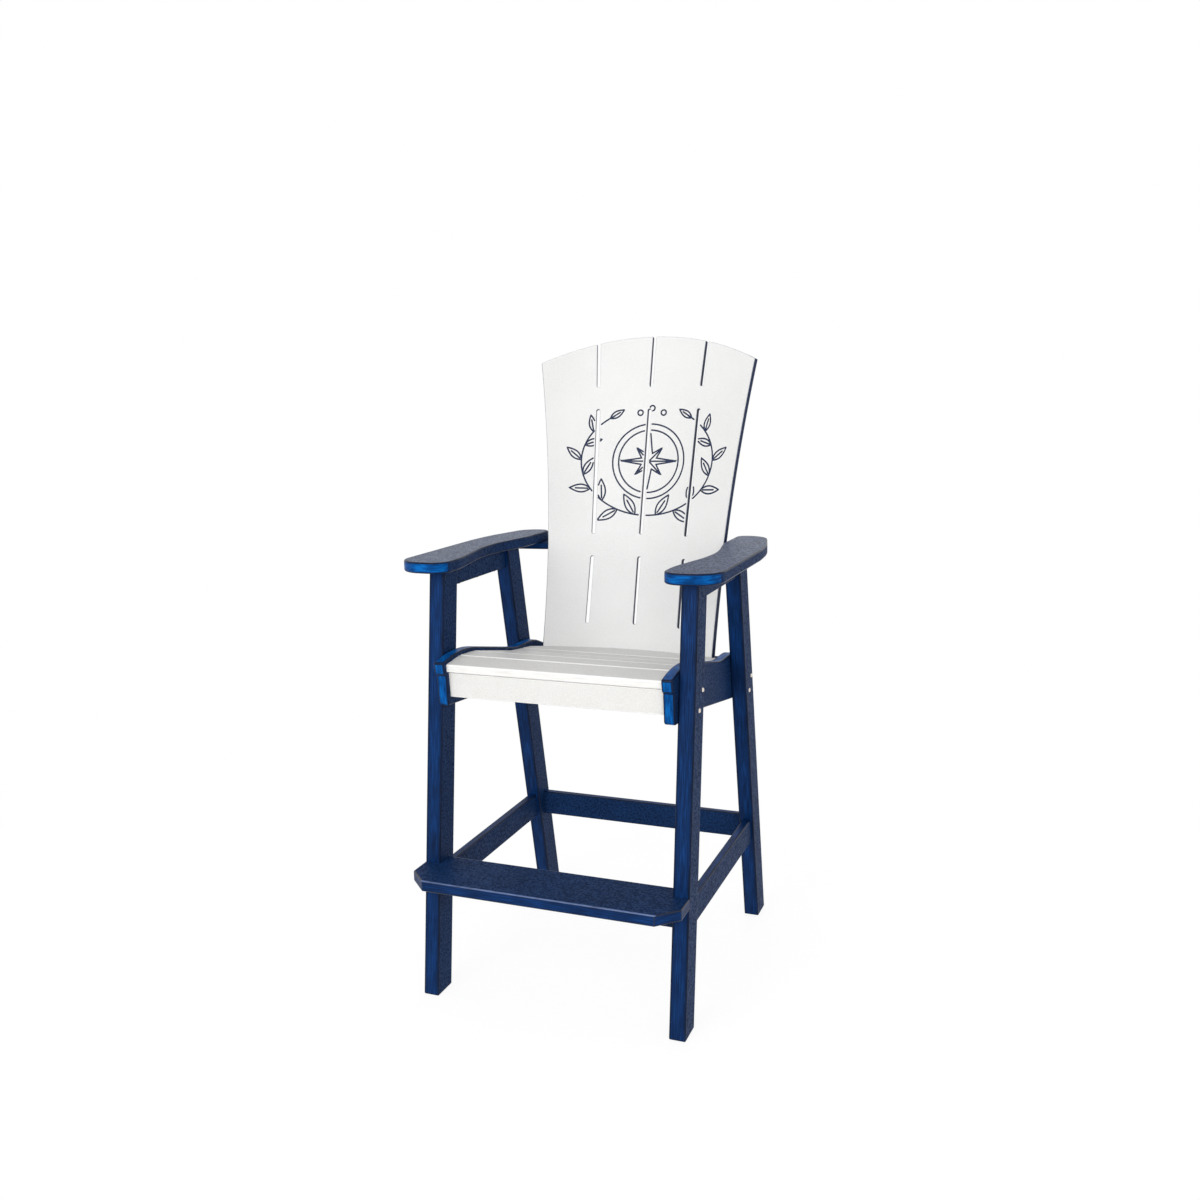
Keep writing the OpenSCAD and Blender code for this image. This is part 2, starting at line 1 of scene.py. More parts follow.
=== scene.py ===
from math import atan2, cos, pi, radians, sin, sqrt, tan
import bpy
import numpy as np
from mathutils import Matrix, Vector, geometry


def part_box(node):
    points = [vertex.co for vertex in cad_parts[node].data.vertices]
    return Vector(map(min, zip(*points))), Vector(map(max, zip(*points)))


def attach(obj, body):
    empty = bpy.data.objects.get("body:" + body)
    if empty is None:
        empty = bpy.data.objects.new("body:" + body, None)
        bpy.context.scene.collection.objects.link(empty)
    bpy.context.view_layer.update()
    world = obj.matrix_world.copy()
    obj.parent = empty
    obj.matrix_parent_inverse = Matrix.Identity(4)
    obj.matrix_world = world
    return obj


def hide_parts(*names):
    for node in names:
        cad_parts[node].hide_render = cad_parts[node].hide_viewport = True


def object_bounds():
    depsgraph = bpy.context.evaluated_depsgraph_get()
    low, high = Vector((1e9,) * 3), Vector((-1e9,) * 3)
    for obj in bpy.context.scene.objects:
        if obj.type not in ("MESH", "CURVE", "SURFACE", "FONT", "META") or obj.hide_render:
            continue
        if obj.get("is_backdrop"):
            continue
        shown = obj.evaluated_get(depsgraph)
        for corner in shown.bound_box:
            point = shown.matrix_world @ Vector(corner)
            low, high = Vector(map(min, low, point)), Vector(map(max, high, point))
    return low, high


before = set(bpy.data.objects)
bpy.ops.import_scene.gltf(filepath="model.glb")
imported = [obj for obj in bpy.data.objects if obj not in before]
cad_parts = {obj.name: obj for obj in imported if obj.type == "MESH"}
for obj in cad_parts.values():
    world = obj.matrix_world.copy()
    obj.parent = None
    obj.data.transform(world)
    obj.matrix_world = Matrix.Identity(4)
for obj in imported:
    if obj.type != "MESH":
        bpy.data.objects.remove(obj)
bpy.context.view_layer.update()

# depth 0 of the numbers below, in mm: the front legs' faces at the floor
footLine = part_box("left_front_leg")[0].y * 1000


# nodes and colours

def linear(hexColour):
    # sRGB hex to the linear colour that a socket takes
    s = np.array([int(hexColour[i:i + 2], 16) / 255 for i in (1, 3, 5)])
    return (*np.where(s <= 0.04045, s / 12.92, ((s + 0.055) / 1.055) ** 2.4), 1.0)


def addNode(tree, kind, inputs=None, **settings):
    node = tree.nodes.new("ShaderNode" + kind)
    for name, value in settings.items():
        setattr(node, name, value)
    for socket, value in (inputs or {}).items():
        if isinstance(value, bpy.types.NodeSocket):
            tree.links.new(value, node.inputs[socket])
        else:
            node.inputs[socket].default_value = value
    return node


def newMaterial(name):
    material = bpy.data.materials.new(name)
    material.use_nodes = True
    material.node_tree.nodes.clear()
    return material, material.node_tree


def finishMaterial(tree, shader):
    addNode(tree, "OutputMaterial", {"Surface": shader.outputs[0]})


def addNoise(tree, vector, size, detail, roughness=0.5):
    # noise with its lumps about size mm apart, over a vector in metres
    return addNode(tree, "TexNoise", {"Vector": vector, "Scale": 1000 / size, "Detail": detail,
                                      "Roughness": roughness}).outputs["Fac"]


def objectPlace(tree):
    return addNode(tree, "TexCoord").outputs["Object"]


def addMath(tree, operation, *values, **settings):
    return addNode(tree, "Math", dict(enumerate(values)), operation=operation, **settings).outputs[0]


def addMix(tree, share, colour, hexColour):
    return addNode(tree, "MixRGB", {"Fac": share, "Color1": colour, "Color2": linear(hexColour)}).outputs[0]


def addRange(tree, value, start, end, toStart=0.0, toEnd=1.0, soft=False):
    # value going from start to end, turned into toStart to toEnd; soft eases in and out
    return addNode(tree, "MapRange", {"Value": value, "From Min": start, "From Max": end,
                                      "To Min": toStart, "To Max": toEnd},
                   interpolation_type="SMOOTHSTEP" if soft else "LINEAR").outputs["Result"]


def addRamp(tree, value, first, last, *between):
    # a colour ramp over value; each stop is a position and an sRGB hex
    ramp = addNode(tree, "ValToRGB", {"Fac": value})
    elements = ramp.color_ramp.elements
    for element, (position, colour) in zip(elements, (first, last)):
        element.position, element.color = position, linear(colour)
    for position, colour in between:
        elements.new(position).color = linear(colour)
    return ramp.outputs["Color"]


def finishPlastic(tree, colour, roughness, height, strength, depth, specular, reflected="#ffffff"):
    # height, strength and depth in mm are those of the relief
    bump = addNode(tree, "Bump", {"Height": height, "Strength": strength, "Distance": depth / 1000})
    finishMaterial(tree, addNode(tree, "BsdfPrincipled", {
        "Base Color": colour, "Roughness": roughness, "Normal": bump.outputs[0], "IOR": 1.54,
        "Specular IOR Level": specular, "Specular Tint": linear(reflected)}))


# board plastic

# Colours run from deep to raised or light; the raised one is a painted highlight on the lumps. In mm: grain
# between lumps, cloud for the slow changes of tone, streak along and across the marks on a cut. lumpHighlight
# is how far the top of a lump goes over to the third colour, a painted highlight
navyBoard = {
    "embossed": {"colours": ("#0b1f3e", "#10284d", "#22487d"), "grain": 4.6, "grainDepth": 0.3, "lumpHighlight": 0.38,
                 "cloud": 70, "roughness": 0.56, "specular": 0.05},
    # finer on the arms, yet drawn coarser than its 2 mm so that it shows
    "armTop": {"colours": ("#0b1f3e", "#10284d", "#22487d"), "grain": 4.0, "grainDepth": 0.3, "lumpHighlight": 0.5,
               "cloud": 110, "roughness": 0.42, "specular": 0.34},
    "planed": {"colours": ("#061d40", "#0a2b58", "#113d7a"), "streak": (60, 2.2), "cloud": 80,
               "roughness": 0.42, "specular": 0.07, "darkNearFaces": "#051935"},
    "routed": {"colours": ("#033569", "#044a8e", "#0a66b4"), "streak": (36, 6), "cloud": 24,
               "roughness": 0.42, "specular": 0.12, "darkNearFaces": "#03264e", "reflected": "#8fb4ff"},
    # painted shade on the navy rounds: darker than the faces beside it, with a closer, glossier surface that
    # catches the lamps
    "rounded": {"colours": ("#061226", "#091a36", "#0e274c"), "streak": (60, 2), "cloud": 60,
                "roughness": 0.3, "specular": 0.1},
}
whiteBoard = {
    "embossed": {"colours": ("#dad9d6", "#dfdedc", "#e6e5e3"), "grain": 3.6, "grainDepth": 0.08, "lumpHighlight": 0.6,
                 "cloud": 90, "roughness": 0.46, "specular": 0.5},
    "machined": {"colours": ("#e3e2df", "#eeedeb", "#eeedeb"), "streak": (60, 3), "cloud": 60,
                 "roughness": 0.34, "specular": 0.5},
    # painted highlight on the white rounds: lighter than the machined faces beside them
    "rounded": {"colours": ("#eeedeb", "#f6f5f3", "#f6f5f3"), "streak": (60, 2), "cloud": 60,
                "roughness": 0.3, "specular": 0.5},
}
# lumps, clouds and marks are the detail and roughness of a noise; relief is the strength of the bump
embossing = {"lumps": (1.5, 0.45), "clouds": (3.0, 0.55), "flank": (0.36, 0.64), "tones": (0.3, 0.7),
             "duller": 0.1, "glossier": 0.08, "relief": 1.0}
cutting = {"marks": (3.0, 0.6), "clouds": (2.0, 0.5), "streakShare": 0.76, "tones": (0.38, 0.5, 0.63),
           "duller": 0.08, "glossier": 0.06, "relief": 0.5, "depth": 0.1,
           "darkNearFaces": (0.3, 0.62), "darkNearFacesMost": 0.85, "darkNearFacesWander": 0.25}


def embossedPlastic(name, colours, grain, grainDepth, lumpHighlight, cloud, roughness, specular):
    # HDPE board calendered with a pebbled roller: the eye gets soft lumps a few mm apart,
    # a hazy satin sheen over them and slow clouds of tone along the board
    low, mid, high = colours
    material, tree = newMaterial(name)
    place = objectPlace(tree)
    pebble = addRange(tree, addNoise(tree, place, grain, *embossing["lumps"]), *embossing["flank"], soft=True)
    first, last = embossing["tones"]
    tone = addRamp(tree, addNoise(tree, place, cloud, *embossing["clouds"]), (first, low), (last, mid))
    # the tops of the lumps lean to the lighter third colour: a painted highlight on the raised pebbles,
    # beside the real bump
    colour = addMix(tree, addMath(tree, "MULTIPLY", pebble, lumpHighlight), tone, high)
    gloss = addRange(tree, pebble, 0, 1, roughness + embossing["duller"], roughness - embossing["glossier"])
    finishPlastic(tree, colour, gloss, pebble, embossing["relief"], grainDepth, specular)
    return material


def machinedPlastic(name, colours, streak, cloud, roughness, specular, darkNearFaces=None, reflected="#ffffff"):
    # the same HDPE where a saw, planer or router cut it: smoother and deeper in colour,
    # with faint streaks that run along the cut. The UV map holds metres along and across it.
    # darkNearFaces is a darker tone towards the board's two faces, with the middle of the edge left lighter,
    # and reflected the colour that the edge gives what it reflects
    low, mid, high = colours
    material, tree = newMaterial(name)
    uv = addNode(tree, "UVMap", uv_map="boardFace").outputs["UV"]
    run = addNode(tree, "Mapping", {"Vector": uv, "Scale": (1000 / streak[0], 1000 / streak[1], 1)})
    streaks = addNoise(tree, run.outputs[0], 1000, *cutting["marks"])   # run is scaled already
    clouds = addNoise(tree, objectPlace(tree), cloud, *cutting["clouds"])
    mostly = addMath(tree, "MULTIPLY", streaks, cutting["streakShare"])
    both = addMath(tree, "MULTIPLY_ADD", clouds, 1 - cutting["streakShare"], mostly)
    first, middle, last = cutting["tones"]
    tone = addRamp(tree, both, (first, low), (last, high), (middle, mid))
    # darker towards the board's two faces and lighter in the middle of the edge, uneven along it
    if darkNearFaces:
        across = addNode(tree, "UVMap", uv_map="acrossEdge").outputs["UV"]
        share = addNode(tree, "SeparateXYZ", {"Vector": across}).outputs["Y"]
        away = addMath(tree, "ABSOLUTE", addMath(tree, "SUBTRACT", share, 0.5))
        wander = addMath(tree, "MULTIPLY_ADD", clouds, cutting["darkNearFacesWander"], away)
        dark = addRange(tree, wander, *cutting["darkNearFaces"], 0.0, cutting["darkNearFacesMost"], soft=True)
        tone = addMix(tree, dark, tone, darkNearFaces)
    gloss = addRange(tree, streaks, 0, 1, roughness + cutting["duller"], roughness - cutting["glossier"])
    finishPlastic(tree, tone, gloss, streaks, cutting["relief"], cutting["depth"], specular, reflected)
    return material


navyEmbossed = embossedPlastic("navyHdpeEmbossed", **navyBoard["embossed"])
navyPlaned = machinedPlastic("navyHdpePlaned", **navyBoard["planed"])
navyRouted = machinedPlastic("navyHdpeRouted", **navyBoard["routed"])
# the rounds' finish, painted darker as shade along every edge
navyShadedRound = machinedPlastic("navyHdpePaintedShadeRound", **navyBoard["rounded"])
navyArmTop = embossedPlastic("navyHdpeEmbossedArm", **navyBoard["armTop"])
navyFinishes = [navyEmbossed, navyPlaned, navyShadedRound]
whiteFinishes = [embossedPlastic("whiteHdpeEmbossed", **whiteBoard["embossed"]),
                 machinedPlastic("whiteHdpeMachined", **whiteBoard["machined"]),
                 machinedPlastic("whiteHdpePaintedHighlightRound", **whiteBoard["rounded"])]
print("board materials made")


# boards

def unit(vectors):
    return vectors / np.linalg.norm(vectors, axis=1, keepdims=True)


def towards(angle):
    return np.stack([np.cos(angle), np.sin(angle)], -1)


def leftOf(vectors):
    return np.stack([-vectors[..., 1], vectors[..., 0]], -1)


def corneredOutline(corners, steps):
    # corners [x, y, radius] in mm, anticlockwise. Each corner becomes an arc that touches both its sides:
    # the outward direction turns evenly from one side's to the next one's, and the arc is its centre plus
    # radius times that direction, or minus it in a hollow corner. Gives points and outward directions.
    c = np.array(corners, float)
    p, r = c[:, :2], c[:, 2:]
    arrive = unit(p - np.roll(p, 1, 0))
    leave = np.roll(arrive, -1, 0)
    cross = arrive[:, 0] * leave[:, 1] - arrive[:, 1] * leave[:, 0]
    turn = np.arctan2(cross, (arrive * leave).sum(1))[:, None]
    sign = np.sign(turn)
    outward = -leftOf(arrive)
    centre = p - arrive * r * np.tan(abs(turn) / 2) - sign * outward * r
    angle = turn * np.linspace(0, 1, steps + 1)
    cosine, sine = np.cos(angle), np.sin(angle)
    normals = np.stack([outward[:, :1] * cosine - outward[:, 1:] * sine,
                        outward[:, :1] * sine + outward[:, 1:] * cosine], 2)
    points = centre[:, None] + (sign * r)[:, None] * normals
    return points.reshape(-1, 2), normals.reshape(-1, 2)


# steps in the quarter round, the radius in mm under which an upright corner is finished as a round,
# and how far an edge turns sideways before it gets the fourth finish
boardMesh = {"roundSteps": 4, "smallRound": 8, "sideways": 0.93}


def makeBoard(name, nodes, corners, board, place, finishes=navyFinishes, steps=6):
    # A board: the profile of its edge, a quarter round, a flat and a quarter round, is carried along the
    # outline, and the two broad faces close it. board gives its thickness and the radius of its rounded edge,
    # and place is (origin, x, y, thickness direction), in mm.
    # finishes are those of the broad faces, the flat of the edge and the rounds, small upright ones too.
    # A fourth one, if given, is that of the edge's flat where it faces sideways.
    thickness, edge = board["thickness"], board["edge"]
    outline, normals = corneredOutline(corners, steps)
    count = len(outline)
    turn = np.linspace(0, pi / 2, boardMesh["roundSteps"] + 1)
    inset = edge * (1 - np.r_[np.sin(turn), np.sin(turn[::-1])])
    height = np.r_[thickness - edge * (1 - np.cos(turn)), edge * (1 - np.cos(turn[::-1]))]
    sideways = np.r_[np.sin(turn), np.sin(turn[::-1])]
    upwards = np.r_[np.cos(turn), -np.cos(turn[::-1])]
    origin, e1, e2, e3 = (np.array(v, float) for v in place)
    flat = outline[None] - inset[:, None, None] * normals[None]
    points = origin + flat[..., :1] * e1 + flat[..., 1:] * e2 + height[:, None, None] * e3
    shade = (sideways[:, None, None] * (normals[None, :, :1] * e1 + normals[None, :, 1:] * e2)
             + upwards[:, None, None] * e3)
    rings = len(inset)
    j, i = (v.ravel() for v in np.meshgrid(np.arange(rings - 1), np.arange(count), indexing="ij"))
    nextOne = (i + 1) % count
    sides = np.stack([j * count + i, (j + 1) * count + i, (j + 1) * count + nextOne, j * count + nextOne], 1)
    faces = sides.tolist() + [list(range(count)), list(range(rings * count - 1, (rings - 1) * count - 1, -1))]
    mesh = bpy.data.meshes.new(name)
    mesh.from_pydata((points.reshape(-1, 3) / 1000).tolist(), [], faces)
    # boardFace holds metres: along the outline and across the thickness on the edge, the plan on the broad
    # faces. acrossEdge has instead the share of the way across, from 0 at one broad face to 1 at the other
    along = np.r_[0, np.cumsum(np.linalg.norm(np.roll(outline, -1, 0) - outline, axis=1))]
    across = np.r_[0, np.cumsum(np.hypot(np.diff(inset), np.diff(height)))]
    uvSides = np.stack([np.stack([along[i + onward], across[j + over]], 1)
                        for onward, over in ((0, 0), (0, 1), (1, 1), (1, 0))], 1)
    uvs = np.concatenate([uvSides.reshape(-1, 2), flat[0], flat[-1][::-1]]) / 1000
    mesh.uv_layers.new(name="boardFace").data.foreach_set("uv", uvs.astype(np.float32).ravel())
    uvs[:4 * len(i), 1] *= 1000 / across[-1]
    uvs[4 * len(i):] = 0.5
    mesh.uv_layers.new(name="acrossEdge").data.foreach_set("uv", uvs.astype(np.float32).ravel())
    mesh.polygons.foreach_set("use_smooth", np.ones(len(faces), bool))
    small = np.repeat(np.array(corners, float)[:, 2] < boardMesh["smallRound"], steps + 1)
    small &= np.arange(count) % (steps + 1) < steps
    onFlat = j == boardMesh["roundSteps"]
    finish = np.where(onFlat & ~small[i], 1, 2)
    if len(finishes) > 3:
        finish[onFlat & (np.abs(normals[i, 0]) > boardMesh["sideways"])] = 3
    mesh.polygons.foreach_set("material_index", np.r_[finish, 0, 0].astype(np.int32))
    mesh.normals_split_custom_set_from_vertices(shade.reshape(-1, 3).tolist())
    addPiece(name, nodes, mesh, finishes)


def addObject(name, data):
    thing = bpy.data.objects.new(name, data)
    bpy.context.scene.collection.objects.link(thing)
    return thing


def addPiece(name, nodes, mesh, finishes):
    mesh.update()
    piece = addObject(name, mesh)
    for finish in finishes:
        mesh.materials.append(finish)
    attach(piece, "root")
    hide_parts(*nodes)


def seenFromSide(x):
    return [(x, footLine, 0), (0, 1, 0), (0, 0, 1), (1, 0, 0)]


def seenFromAbove(z):
    return [(0, footLine, z), (1, 0, 0), (0, 1, 0), (0, 0, 1)]


def mirrored(corners):
    return [[-x, y, r] for x, y, r in reversed(corners)]


def withRadius(points, radius):
    return [[x, y, radius] for x, y in points]


def bothSides(board):
    # each side's name, and where its board starts across the chair
    return ("left", board["inner"]), ("right", -board["inner"] - board["thickness"])


legs = {"thickness": 38.1, "depth": 65.5, "inner": 281.2, "top": 988.4, "frontLean": 6.45, "rearLean": 12.1,
        "rearFoot": 658.4, "edge": 3.2, "corner": 3.4, "into": 3}


def frontLegY(z):
    return tan(radians(legs["frontLean"])) * z


def rearLegY(z):
    return legs["rearFoot"] - tan(radians(legs["rearLean"])) * z


frontDepth, rearDepth = (legs["depth"] / cos(radians(legs[k])) for k in ("frontLean", "rearLean"))
legTop = legs["top"] + legs["into"]   # the round of the top end is hidden in the arm
for side, x in bothSides(legs):
    for end, face, depth in (("front", frontLegY, frontDepth), ("rear", rearLegY, rearDepth)):
        corners = [[face(0), 0], [face(0) + depth, 0], [face(legTop) + depth, legTop], [face(legTop), legTop]]
        makeBoard(f"{side}{end.title()}LegBoard", [f"{side}_{end}_leg"], withRadius(corners, legs["corner"]),
                  legs, seenFromSide(x))
print("legs made")


# between the legs of one side; the ends go a little way into the legs, so that only the long rounds show
sideBoards = {"inner": 292.2, "thickness": 19, "edge": 2.6, "corner": 2.8, "into": 3.5,
              "side_stretcher": (226.3, 289.6), "arm_rail": (942.4, 991.4)}
for kind in ("side_stretcher", "arm_rail"):
    low, high = sideBoards[kind]
    into = sideBoards["into"]
    corners = [[frontLegY(low) + frontDepth - into, low], [rearLegY(low) + into, low],
               [rearLegY(high) + into, high], [frontLegY(high) + frontDepth - into, high]]
    for side, x in bothSides(sideBoards):
        makeBoard(f"{side}{kind.title().replace('_', '')}Board", [f"{side}_{kind}"],
                  withRadius(corners, sideBoards["corner"]), sideBoards, seenFromSide(x))

crossBoards = {"edge": 2.6, "corner": 2.8, "into": 3.5}
for node in ("front_stretcher", "rear_stretcher"):
    low, high = (np.array(v) * 1000 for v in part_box(node))
    out = crossBoards["into"]
    corners = [[low[0] - out, low[2]], [high[0] + out, low[2]],
               [high[0] + out, high[2]], [low[0] - out, high[2]]]
    makeBoard(node.title().replace("_", "") + "Board", [node], withRadius(corners, crossBoards["corner"]),
              {**crossBoards, "thickness": high[1] - low[1]},
              [(0, high[1], 0), (1, 0, 0), (0, 0, 1), (0, -1, 0)])
print("stretchers and arm rails made")


footrest = {"bottom": 289.6, "thickness": 25.4, "edge": 3.0,
            "right": [[273.5, -66.5, 3.6], [319.3, -20.7, 3.6], [319.3, 37, 3.2], [284.2, 37, 1.5],
                      [284.2, 81, 3.2]]}
# the painted highlight fades out between these mm behind the front and under the top
edgeHighlight = {"colour": "#5f76a8", "noise": (40, 3.0), "behind": (2, 5), "under": (3, 1), "patches": (0.3, 0.6),
        "least": 0.45, "roughness": 0.26, "specular": 0.3}


def footrestEdgeHighlight():
    # the round edge again, with a painted highlight: a paler colour along the front, on the upper round only,
    # fading out within a few mm and uneven from place to place
    material = machinedPlastic("navyHdpeHighlightedFootrestEdge", **{**navyBoard["rounded"], "roughness": edgeHighlight["roughness"],
                                                      "specular": edgeHighlight["specular"]})
    tree = material.node_tree
    shader = next(node for node in tree.nodes if node.type == "BSDF_PRINCIPLED")
    place = objectPlace(tree)
    parts = addNode(tree, "SeparateXYZ", {"Vector": place})
    front = footLine + footrest["right"][0][1]
    top = footrest["bottom"] + footrest["thickness"]
    near = addRange(tree, parts.outputs["Y"], *[(front + v) / 1000 for v in edgeHighlight["behind"]], 1.0, 0.0)
    above = addRange(tree, parts.outputs["Z"], *[(top - v) / 1000 for v in edgeHighlight["under"]])
    uneven = addRange(tree, addNoise(tree, place, *edgeHighlight["noise"]), *edgeHighlight["patches"], edgeHighlight["least"])
    share = addMath(tree, "MULTIPLY", addMath(tree, "MULTIPLY", near, above), uneven)
    colour = shader.inputs["Base Color"]
    # paints the paler highlight colour over the round's own colour
    tree.links.new(addMix(tree, share, colour.links[0].from_socket, edgeHighlight["colour"]), colour)
    return material


makeBoard("footrestBoard", ["footrest"], footrest["right"] + mirrored(footrest["right"]), footrest,
          seenFromAbove(footrest["bottom"]), [navyEmbossed, navyPlaned, footrestEdgeHighlight()])
print("footrest made")


arms = {"bottom": 988.4, "thickness": 25.4, "edge": 3.4,
        "plan": [[251.7, 52, 40], [375.8, 52, 62], [375.8, 430, 400], [368.5, 520, 500],
                 [332, 672, 56], [258.7, 672, 26], [258.7, 522, 250], [291.3, 346.5, 450], [251.7, 139, 250]]}
for side, plan in (("left", arms["plan"]), ("right", mirrored(arms["plan"]))):
    makeBoard(f"{side}ArmBoard", [f"{side}_arm"], plan, arms, seenFromAbove(arms["bottom"]),
              [navyArmTop, navyRouted, navyShadedRound, navyEmbossed], steps=14)
print("arms made")


# seat

seatSides = {"inner": 255.8, "thickness": 25.4, "height": 799.3, "edge": 3.2,
             "top": [[43, -10.4, 5], [136.2, 8.2, 376], [433, -57.1, 250], [539.4, -57.1, 167],
                     [639.9, -94.5, 10]],
             "low": [[639.9, -191, 10], [279, -130.9, 300], [61.7, -112.8, 9], [56, -41.8, 4],
                     [49, -38.3, 4]]}
profile = [[y, z + seatSides["height"], r] for y, z, r in seatSides["top"] + seatSides["low"]][::-1]
for side, x in bothSides(seatSides):
    makeBoard(f"{side}SeatSideBoard", [f"{side}_seat_side"], profile, seatSides, seenFromSide(x),
              [navyEmbossed, navyRouted, navyShadedRound], steps=12)

slats = {"half": 258.8, "width": 65.5, "thickness": 19, "edge": 3.2, "corner": 3.4,
         # front edge, top and tilt of each
         "places": [(56.4, 783.07, 6.544), (125.15, 790.64, -3.856), (194.19, 785.73, -11.979),
                    (261.89, 771.35, -12.408), (329.47, 756.48, -12.408), (397.05, 741.61, -6.885)]}


def slatPlace(y, z, tilt):
    # on the underside at the front edge, leaning with the slat
    c, s = cos(radians(tilt)), sin(radians(tilt))
    front, under = footLine + y + slats["thickness"] * s, z - slats["thickness"] * c
    return [(0, front, under), (1, 0, 0), (0, c, s), (0, -s, c)]


def acrossSeat(low, high, radius):
    half = slats["half"]
    return withRadius([[-half, low], [half, low], [half, high], [-half, high]], radius)


for i, (y, z, tilt) in enumerate(slats["places"], 1):
    makeBoard(f"seatSlatBoard{i}", [f"seat_slat_{i}"], acrossSeat(0, slats["width"], slats["corner"]), slats,
              slatPlace(y, z, tilt), whiteFinishes)

apron = {"top": 761.8, "height": 57.6, "front": 67.5, "lean": 0.09, "thickness": 19, "edge": 2.4,
         "corner": 2.6}
makeBoard("seatApronBoard", ["seat_apron"], acrossSeat(-apron["height"], 0, apron["corner"]), apron,
          [(0, footLine + apron["front"] + apron["thickness"], apron["top"]), (1, 0, 0),
           (0, -apron["lean"], 1), (0, -1, 0)], whiteFinishes)
print("seat slats and apron made")


# back panel

back = {
    # cone of the front face
    "axis": 110.7, "foot": 733.0, "bend": 478.1, "recline": 14.37,
    "thickness": 12.7, "length": 808, "crown": 553.5, "bottom": 679.4,
    "waistAngle": 25.2, "waistUp": 490, "sideRadius": 4500,
    "slotWidth": 9.5, "edge": 0.9, "skin": 1.4,
    "meeting": (500, 900),   # mm up the lean; the crown meets the side between them
    "low": ((51, 228), (124.5, 125)), "mid": ((286, 617), (126, 138)), "top": ((675, 860), (141.5, 153)),
}
lean = radians(back["recline"])
leanSin, leanCos, leanTan = sin(lean), cos(lean), tan(lean)
waist = radians(back["waistAngle"])
apex = back["bend"] / leanSin


def onCone(angle, up, depth):
    # a place on the panel: turned by angle round the upright axis, up along the lean, depth behind the face
    r = back["bend"] + up * leanSin + depth * leanCos
    return np.stack([r * np.sin(angle), footLine + back["axis"] + r * np.cos(angle),
                     back["foot"] + up * leanCos - depth * leanSin], -1)


def toFlat(angle, up):
    # the cone unrolls to a flat fan: distance from its apex, and the angle shrunk by the sine of the lean
    far = apex + up
    return np.stack([far * np.sin(angle * leanSin), far * np.cos(angle * leanSin) - apex], -1)


def fromFlat(flat):
    far = np.hypot(flat[..., 0], flat[..., 1] + apex)
    return np.arctan2(flat[..., 0], flat[..., 1] + apex) / leanSin, far - apex


def tangentPlane(angle, across, up):
    # a point on the plane that touches the face at that angle, carried square to the plane onto the cone
    s, c, t = leanSin, leanCos, leanTan
    # in the turned frame: x across, y outwards and z up; a step w along the plane's normal (0, c, -s)
    x, y, z = across, back["bend"] + up * s, up * c
    # (x^2 + (y + w c)^2) = (bend + (z - w s) tan)^2
    qa = c * c - (s * t) ** 2
    qb = 2 * (y * c + (back["bend"] + z * t) * s * t)
    qc = x * x + y * y - (back["bend"] + z * t) ** 2
    w = (-qb + np.sqrt(qb * qb - 4 * qa * qc)) / (2 * qa)
    return angle + np.arctan2(x, y + w * c), (z - w * s) / c


def slotOutline(ends, offsets, steps=10):
    # a round-ended slot between two places on the panel: its outline, and its middle line
    radii = back["bend"] + np.array(ends) * leanSin
    angles = np.arcsin(np.array(offsets) / radii)
    middle = angles.mean()
    half = back["slotWidth"] / 2
    low = np.array([radii[0] * sin(angles[0] - middle), ends[0] + half])
    high = np.array([radii[1] * sin(angles[1] - middle), ends[1] - half])
    d = (high - low) / np.linalg.norm(high - low)
    n = -leftOf(d)
    turn = np.linspace(0, pi, steps + 1)[:, None]
    run = np.linspace(0, 1, 40)[1:-1, None]
    right = low + n * half + (high - low) * run
    left = high - n * half + (low - high) * run
    ring = np.concatenate([low - half * (n * np.cos(turn) + d * np.sin(turn)), right,
                           high + half * (n * np.cos(turn) + d * np.sin(turn)), left])
    spine = low + (high - low) * np.linspace(0, 1, 40)[:, None]
    return [toFlat(*tangentPlane(middle, line[:, 0], line[:, 1])) for line in (ring, spine)]


# the outer edge: up the right side, over the crown, down the left side and along the foot
bottomUp = (back["bottom"] - back["foot"]) / leanCos


def sideEdge(up):
    bow = back["sideRadius"] - np.sqrt(back["sideRadius"] ** 2 - (up - back["waistUp"]) ** 2)
    return tangentPlane(waist, bow, up)


def crownUp(across):
    return back["length"] - back["crown"] + np.sqrt(back["crown"] ** 2 - across ** 2)


edgeUp = np.linspace(bottomUp, back["meeting"][1], 160)
edgeAngle, edgeRise = sideEdge(edgeUp)
# where the side meets the crown: seen square to the panel's middle, its distance from the crown's centre
# is the crown's radius
edgeRadius = back["bend"] + edgeRise * leanSin
seenUp = (edgeRadius * np.cos(edgeAngle) - back["bend"]) * leanSin + edgeRise * leanCos ** 2
beyond = np.hypot(edgeRadius * np.sin(edgeAngle), seenUp - back["length"] + back["crown"]) - back["crown"]
upper = edgeUp > back["meeting"][0]
meet = np.interp(0, beyond[upper], edgeUp[upper])
rightSide = toFlat(*sideEdge(np.linspace(bottomUp, meet, 110)))
meetAngle, meetRise = sideEdge(np.array([meet]))
reach = (back["bend"] + meetRise[0] * leanSin) * sin(meetAngle[0])
crownAcross = np.linspace(reach, -reach, 120)[1:-1]
crown = toFlat(*tangentPlane(0, crownAcross, crownUp(crownAcross)))
mirror = np.array([-1, 1])
footAngle = np.linspace(-edgeAngle[0], edgeAngle[0], 80)[1:-1]
foot = toFlat(footAngle, bottomUp)
panelOutline = np.concatenate([rightSide, crown, (rightSide * mirror)[::-1], foot])

slotOutlines, slotSpines = [], []
for name in ("low", "mid", "top"):
    ends, offsets = back[name]
    outline, spine = slotOutline(ends, (0, 0))
    outerOutline, outerSpine = slotOutline(ends, offsets)
    slotOutlines += [outline, outerOutline, (outerOutline * mirror)[::-1]]
    slotSpines += [spine, outerSpine, outerSpine * mirror]
print("panel outline and", len(slotOutlines), "slots laid out")


# engraved ornament: a pointed star in a ring between two leafy sprays

